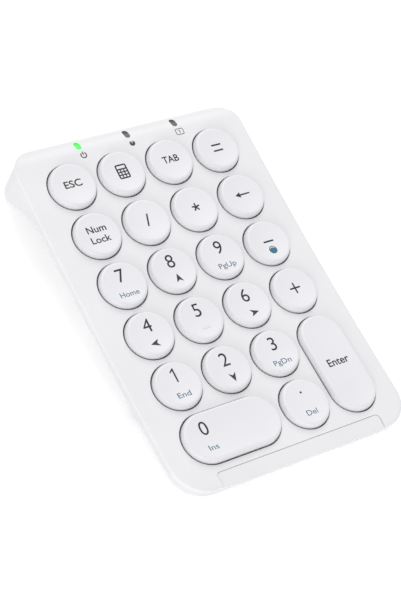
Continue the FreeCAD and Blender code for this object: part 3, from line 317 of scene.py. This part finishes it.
def dish_height(reach, crest):
    """Height of the dished top at a distance from the cap's middle line."""
    dip = CAP_DISH - CAP_CREST_DROP
    sphere = (crest**2 + dip**2) / (2 * dip)
    return CAP_HEIGHT - CAP_DISH + sphere - math.sqrt(sphere**2 - min(reach, crest) ** 2)


def cap_profile(radius):
    """The cap's section as (distance from the middle line, height), from its ceiling round to its dish."""
    inner = radius - CAP_WALL
    side = radius - CAP_SIDE_DRAFT
    rim = radius - CAP_RIM
    crest = rim - CAP_CREST_WIDTH
    ceiling = CAP_HEIGHT - CAP_CEILING
    nick, hole = CAP_NICK, CAP_MIDDLE_HOLE
    section = [(hole, ceiling), (inner - hole, ceiling), (inner, ceiling - hole)]
    section += [(inner, nick), (inner + nick, 0.0), (radius - nick, 0.0), (radius, nick)]
    section += [(radius, CAP_HEIGHT * 0.3), (radius, CAP_HEIGHT * 0.53)]
    for i in range(RIM_STEPS + 1):
        turn = math.pi / 2 * i / RIM_STEPS
        out = rim + (side - rim) * math.cos(turn)
        section.append((out, CAP_HEIGHT - CAP_EDGE_DROP * (1 - math.sin(turn))))
    section.append((rim - 0.09 * MM, CAP_HEIGHT - 0.001 * MM))
    section.append((rim - 0.17 * MM, CAP_HEIGHT - 0.006 * MM))
    for i in range(DISH_STEPS + 1):
        reach = crest + (hole - crest) * i / DISH_STEPS
        section.append((reach, dish_height(reach, crest)))
    return section


def build_cap(name):
    """A keycap as one closed shell of clean rings: skirt, rounded rim, dished top and hollow underside."""
    place, half_x, half_y = key_frame(name)
    radius = min(half_x, half_y)
    section = cap_profile(radius)
    vertices, faces = [], []
    for reach, height in section:
        for x, y in oval(reach, half_x - radius, half_y - radius):
            vertices.append(place @ Vector((x, y, height)))
    for ring in range(len(section) - 1):
        low = ring * ROUND_STEPS
        for i in range(ROUND_STEPS):
            j = (i + 1) % ROUND_STEPS
            faces.append((low + i, low + j, low + ROUND_STEPS + j, low + ROUND_STEPS + i))
    last = (len(section) - 1) * ROUND_STEPS
    faces.append(tuple(reversed(range(ROUND_STEPS))))
    faces.append(tuple(last + i for i in range(ROUND_STEPS)))
    cap = new_object("cap_" + name[4:], vertices, faces, CAP)
    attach(cap, name)
    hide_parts(name)
    return cap


CAPS = {name: build_cap(name) for name in KEYS}


# ---- printed marks ---------------------------------------------------------------------------------
# A mark is a list of flat convex outlines in millimetres, x to the right and y to the rear.


def turned(x, y, u, v, turn):
    """The point u, v turned about the origin and then moved by x, y."""
    return (x + u * math.cos(turn) - v * math.sin(turn), y + u * math.sin(turn) + v * math.cos(turn))


def bar(x, y, width, height, lean=0.0):
    """A rectangle about x, y, turned by an angle in degrees."""
    turn = math.radians(lean)
    corners = ((-1, -1), (1, -1), (1, 1), (-1, 1))
    shape = []
    for a, b in corners:
        u, v = a * width / 2, b * height / 2
        shape.append(turned(x, y, u, v, turn))
    return [shape]


def arc_band(x, y, radius, width, start, end, steps=28):
    """A curved stroke about x, y between two angles in degrees."""
    pieces = []
    for i in range(steps):
        a = math.radians(start + (end - start) * i / steps)
        b = math.radians(start + (end - start) * (i + 1) / steps)
        outer, inner = radius + width / 2, radius - width / 2
        ends = ((inner, a), (outer, a), (outer, b), (inner, b))
        pieces.append([(x + r * math.cos(t), y + r * math.sin(t)) for r, t in ends])
    return pieces


def disc(x, y, radius, steps=40):
    """A filled round spot."""
    angles = [2 * math.pi * i / steps for i in range(steps)]
    return [[(x + radius * math.cos(t), y + radius * math.sin(t)) for t in angles]]


def frame_band(x, y, width, height, corner, stroke):
    """A rounded rectangle drawn as a line of even width."""
    a, b = width / 2 - corner, height / 2 - corner
    pieces = []
    for sx, sy, start in ((1, 1, 0), (-1, 1, 90), (-1, -1, 180), (1, -1, 270)):
        pieces += arc_band(x + sx * a, y + sy * b, corner, stroke, start, start + 90, 6)
    pieces += bar(x, y + height / 2, 2 * a, stroke) + bar(x, y - height / 2, 2 * a, stroke)
    pieces += bar(x + width / 2, y, stroke, 2 * b) + bar(x - width / 2, y, stroke, 2 * b)
    return pieces


def arrow_head(x, y, heading):
    """A notched arrow head that points along a heading in degrees, as two triangles."""
    turn = math.radians(heading)
    corners = ((1.75, 0.0), (-1.5, 1.3), (-0.6, 0.0), (-1.5, -1.3))
    tip, left, notch, right = [turned(x, y, u, v, turn) for u, v in corners]
    return [[tip, left, notch], [tip, notch, right]]


def calculator_mark(x, y):
    """A pocket calculator: a frame, a display and a grid of nine buttons."""
    pieces = frame_band(x, y, 3.7, 4.9, 0.35, 0.52) + bar(x, y + 0.95, 3.7, 0.5)
    pieces += [shape for dx in (-0.62, 0.62) for shape in bar(x + dx, y - 0.75, 0.42, 3.4)]
    pieces += [shape for dy in (-0.15, -1.25) for shape in bar(x, y + dy, 3.7, 0.42)]
    return pieces


def power_mark(x, y, radius, stroke):
    """An open ring with an upright bar in its gap."""
    return arc_band(x, y, radius, stroke, 125, 415) + bar(x, y + radius * 0.75, stroke, radius * 1.3)


def wave_mark(x, y, grow, stroke):
    """Two curved waves over a dot: a plain sign for a wireless link."""
    low = y - grow
    inner = arc_band(x, low, grow * 1.15, stroke, 50, 130, 12)
    outer = arc_band(x, low, grow * 1.9, stroke, 50, 130, 14)
    return inner + outer + disc(x, low + 0.25 * grow, stroke * 0.75, 16)


def written(text, x, y, height, width=None, heavy=0.0):
    """Plain lettering centred on x, y. Its capitals get the height, and the whole line the width."""
    curve = bpy.data.curves.new("lettering", "FONT")
    curve.body = text
    curve.offset = heavy
    curve.resolution_u = 6
    holder = bpy.data.objects.new("lettering", curve)
    bpy.context.scene.collection.objects.link(holder)
    bpy.context.view_layer.update()
    mesh = bpy.data.meshes.new_from_object(holder.evaluated_get(bpy.context.evaluated_depsgraph_get()))
    points = [(v.co.x, v.co.y) for v in mesh.vertices]
    faces = [[points[i] for i in f.vertices] for f in mesh.polygons]
    bpy.data.objects.remove(holder)
    bpy.data.curves.remove(curve)
    bpy.data.meshes.remove(mesh)
    left, right = min(p[0] for p in points), max(p[0] for p in points)
    capital = 0.729
    up = height / capital
    across = width / (right - left) if width else up
    middle = (left + right) / 2
    return [[(x + (u - middle) * across, y - height / 2 + v * up) for u, v in face] for face in faces]


def printed(name, shapes, place, target, material, body, lift=INK_LIFT):
    """Lays a mark's outlines on a surface, seen along the place's z axis, as thin ink."""
    out = place.to_3x3() @ Vector((0, 0, 1))
    vertices, faces = [], []
    known = {}
    for shape in shapes:
        face = []
        for x, y in shape:
            key = (round(x, 5), round(y, 5))
            if key not in known:
                above = place @ Vector((x * MM, y * MM, RAY_START))
                hit, point = target.ray_cast(above, -out)[:2]
                if not hit:
                    raise RuntimeError("%s runs off its surface" % name)
                known[key] = len(vertices)
                vertices.append(point + out * lift)
            face.append(known[key])
        if len(set(face)) > 2:
            faces.append(face)
    mark = new_object(name, vertices, faces, material, smooth=False)
    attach(mark, body)


CAP_MIDDLE = {name: key_frame(name)[0] for name in KEYS}


def mark_key(name, shapes, material, part_name):
    """Prints outlines on a key's dish, about the cap's middle."""
    label = "%s_%s" % (part_name, name[4:])
    printed(label, shapes, CAP_MIDDLE[name], CAPS[name], material, name)


def digit(text, x=0.0):
    """A key's main figure, at the typeface's own weight and proportions."""
    return written(text, x, MAIN_Y, DIGIT_HEIGHT)


def print_legends():
    """Every key's own lettering and signs."""
    dark = {
        "key_esc": written("ESC", 0, 0.5, 2.65, 6.5, HEAVY),
        "key_calculator": calculator_mark(0, 0.3),
        "key_tab": written("TAB", 0, 0.5, 2.65, 6.2, HEAVY),
        "key_equals": bar(0, 1.35, 3.8, 0.58) + bar(0, -0.85, 3.8, 0.58),
        "key_num_lock": written("Num", 0, 2.0, 2.5, 7.1, HEAVY) + written("Lock", 0, -1.9, 2.5, 7.2, HEAVY),
        "key_divide": bar(0, 0.2, 0.55, 4.7, -17),
        "key_multiply": [s for a in (90, 18, 162, 234, 306) for s in star_arm(0, 0.1, a)],
        "key_backspace": bar(0.7, 0.1, 4.3, 0.5) + [[(-2.9, 0.1), (-0.9, -0.95), (-0.9, 1.15)]],
        "key_7": digit("7"),
        "key_8": digit("8") + arrow_head(0, SUB_Y + 0.3, 90),
        "key_9": digit("9"),
        "key_minus": bar(0, 0.0, 4.0, 0.58),
        "key_4": digit("4") + arrow_head(-0.2, SUB_Y + 0.1, 180),
        "key_5": digit("5"),
        "key_6": digit("6") + arrow_head(0.2, SUB_Y + 0.1, 0),
        "key_plus": bar(0, 0.2, 4.1, 0.56) + bar(0, 0.2, 0.56, 4.1),
        "key_1": one_mark(0, MAIN_Y),
        "key_2": digit("2") + arrow_head(0, SUB_Y + 0.2, 270),
        "key_3": digit("3"),
        "key_0": digit("0", -PAIR_SHIFT),
        "key_decimal": disc(0, MAIN_Y + 0.45, 0.38, 20),
        "key_enter": written("Enter", 0, 0.3, 2.8, 8.3, HEAVY),
    }
    blue = {
        "key_7": written("Home", 0, SUB_Y, SUB_HEIGHT, 7.0, SUB_HEAVY),
        "key_9": written("PgUp", 0, SUB_Y, SUB_HEIGHT, 6.7, SUB_HEAVY),
        "key_minus": disc(0, SUB_Y + 0.4, 1.5),
        "key_1": written("End", 0, SUB_Y, SUB_HEIGHT, 4.8, SUB_HEAVY),
        "key_3": written("PgDn", 0, SUB_Y, SUB_HEIGHT, 6.7, SUB_HEAVY),
        "key_0": written("Ins", -PAIR_SHIFT, SUB_Y, SUB_HEIGHT, 3.5, SUB_HEAVY),
        "key_decimal": written("Del", 0, SUB_Y, SUB_HEIGHT, 4.1, SUB_HEAVY),
    }
    for name, shapes in dark.items():
        mark_key(name, shapes, DARK_INK, "legend")
    for name, shapes in blue.items():
        mark_key(name, shapes, BLUE_INK, "second_legend")
    waves = wave_mark(0, SUB_Y + 0.75, 0.75, 0.24)
    place, cap = CAP_MIDDLE["key_minus"], CAPS["key_minus"]
    printed("link_sign_minus", waves, place, cap, WHITE_INK, "key_minus", 2 * INK_LIFT)


def star_arm(x, y, heading):
    """One ray of an asterisk."""
    turn = math.radians(heading)
    return bar(x + 0.72 * math.cos(turn), y + 0.72 * math.sin(turn), 1.6, 0.58, heading)


def one_mark(x, y):
    """A plain figure one: an upright with a short flag."""
    top = y + DIGIT_HEIGHT / 2
    upright = bar(x + 0.35, y, 0.52, DIGIT_HEIGHT)
    flag = [[(x + 0.3, top), (x + 0.1, top - 0.75), (x - 0.95, top - 1.5), (x - 0.95, top - 0.95)]]
    return upright + flag


print_legends()


def homing_bar():
    """The raised bar that marks the middle key for a finger that can't see it."""
    place, cap = CAP_MIDDLE["key_5"], CAPS["key_5"]
    out = place.to_3x3() @ Vector((0, 0, 1))
    length, half, rise = 1.7 * MM, 0.26 * MM, 0.28 * MM
    rows, around = 13, 12
    vertices, faces = [], []
    for i in range(rows):
        share = -1 + 2 * i / (rows - 1)
        taper = math.sqrt(max(0.0, 1 - share**6)) * 0.999 + 0.001
        for k in range(around + 1):
            turn = math.pi * k / around
            x, y = share * length, SUB_Y * MM - half * taper * math.cos(turn)
            above = place @ Vector((x, y, RAY_START))
            point = cap.ray_cast(above, -out)[1]
            vertices.append(point + out * (rise * taper * math.sin(turn) - 0.02 * MM))
    row = around + 1
    for i in range(rows - 1):
        for k in range(around):
            a = i * row + k
            faces.append((a, a + row, a + row + 1, a + 1))
        faces.append((i * row + around, (i + 1) * row + around, (i + 1) * row, i * row))
    faces.append(tuple(range(row)))
    faces.append(tuple(reversed(range((rows - 1) * row, rows * row))))
    thing = new_object("homing_bar", vertices, faces, CAP)
    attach(thing, "key_5")


homing_bar()


def mark_deck():
    """The small signs in front of the three status lights."""
    cover = NODES["top_cover"]
    signs = {
        "power_light_window": power_mark(0.3, 0, 0.98, 0.42),
        "wireless_light_window": disc(0.3, 0, 1.05, 32),
        "num_lock_light_window": frame_band(0.4, 0, 2.9, 2.2, 0.45, 0.26) + bar(0.45, 0, 0.28, 1.3)
        + bar(0.25, 0.45, 0.42, 0.22, 40),
    }
    for window, shapes in signs.items():
        low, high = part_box(window)
        place = Matrix.Rotation(TILT + LIGHT_LEAN, 4, "X")
        place.translation = Vector(((low.x + high.x) / 2, low.y - SIGN_AHEAD, high.z))
        printed("sign_" + window[:-7], shapes, place, cover, SIGN_INK, "case")
        if window == "wireless_light_window":
            waves = wave_mark(0.3, 0.5, 0.55, 0.22)
            printed("sign_waves", waves, place, cover, WHITE_INK, "case", 2 * INK_LIFT)


mark_deck()

# ---- what moves under the caps ---------------------------------------------------------------------


def node_island(node, name, margin):
    """The part of a grouped node that lies under one key, as (vertices, faces)."""
    place, half_x, half_y = key_frame(name)
    inverse = place.inverted()
    mesh = NODES[node].data
    inside = {}
    for v in mesh.vertices:
        local = inverse @ v.co
        if abs(local.x) < half_x + margin and abs(local.y) < half_y + margin:
            inside[v.index] = len(inside)
    vertices = [mesh.vertices[i].co.copy() for i in inside]
    faces = [[inside[i] for i in f.vertices] for f in mesh.polygons if all(i in inside for i in f.vertices)]
    return vertices, faces


def squashed_piece(node, name, label, material):
    """One key's own dome or link, cut from the grouped node as a mesh of its own and fixed to the case."""
    vertices, faces = node_island(node, name, ISLAND_MARGIN)
    piece = new_object("%s_%s" % (label, name[4:]), vertices, faces, material, smooth=False)
    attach(piece, "case")
    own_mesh(piece)
    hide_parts(node)


for key in KEYS:
    squashed_piece("rubber_domes", key, "dome", MATERIALS["dome_rubber"])
    squashed_piece("scissor_outer_links", key, "outer_link", MATERIALS["link_plastic"])
    squashed_piece("scissor_inner_links", key, "inner_link", MATERIALS["link_plastic"])

# ---- floor, light and camera -----------------------------------------------------------------------


def make_floor():
    """A wide pale paper floor that shines a little, so that it stays white near the keypad."""
    size = 3.0
    corners = [(-size, -size, 0), (size, -size, 0), (size, size, 0), (-size, size, 0)]
    material, tree, shader = new_material("floor_paper")
    tone = ramp(tree, noise(tree, 30.0, 2.0), (0.90, 0.90, 0.90), (0.92, 0.92, 0.92))
    tree.links.new(tone, shader.inputs["Base Color"])
    shader.inputs["Roughness"].default_value = 0.9
    shader.inputs["Emission Color"].default_value = (1, 1, 1, 1)
    shader.inputs["Emission Strength"].default_value = 0.26
    floor = new_object("floor", corners, [(0, 1, 2, 3)], material, smooth=False)


def aim(thing, target):
    """Turns a light so that it shines at a point."""
    direction = Vector(target) - thing.location
    thing.rotation_euler = direction.to_track_quat("-Z", "Y").to_euler()


def soft_light(name, place, size, power):
    """A round area light that shines at the keypad."""
    lamp = bpy.data.lights.new(name, "AREA")
    lamp.shape = "DISK"
    lamp.size = size
    lamp.energy = power
    holder = bpy.data.objects.new(name, lamp)
    holder.location = place
    bpy.context.scene.collection.objects.link(holder)
    aim(holder, (0, 0, 0.01))


def make_light():
    """An even white surround, a light behind and above, one in front, and a low one at the left."""
    world = bpy.data.worlds.new("studio")
    world.use_nodes = True
    world.node_tree.nodes["Background"].inputs["Color"].default_value = (1.0, 1.0, 1.0, 1)
    world.node_tree.nodes["Background"].inputs["Strength"].default_value = 0.72
    bpy.context.scene.world = world
    soft_light("overhead_light", (1.0, 1.8, 2.0), 2.0, 30.0)
    soft_light("front_light", (-2.0, -1.3, 1.9), 1.6, 10.0)
    soft_light("low_light", (-1.9, -2.2, 0.8), 1.4, 20.0)


def make_camera():
    """The camera stands to the front left, well above the keypad, and is rolled to one side."""
    azimuth, elevation, roll = math.radians(-52.07), math.radians(49.57), math.radians(27.31)
    distance = 0.58268
    target = Vector((-0.00525, -0.003834, 0.010))
    back = Vector((
        math.sin(azimuth) * math.cos(elevation),
        -math.cos(azimuth) * math.cos(elevation),
        math.sin(elevation),
    ))
    camera = bpy.data.cameras.new("camera")
    camera.sensor_fit = "VERTICAL"
    camera.sensor_height = 36.0
    camera.lens = 108.29
    holder = bpy.data.objects.new("camera", camera)
    level = back.to_track_quat("Z", "Y").to_matrix().to_4x4()
    place = Matrix.Translation(target + back * distance)
    holder.matrix_world = place @ level @ Matrix.Rotation(roll, 4, "Z")
    bpy.context.scene.collection.objects.link(holder)
    bpy.context.scene.camera = holder


make_floor()
make_light()
make_camera()
bpy.context.scene.view_settings.view_transform = "Standard"
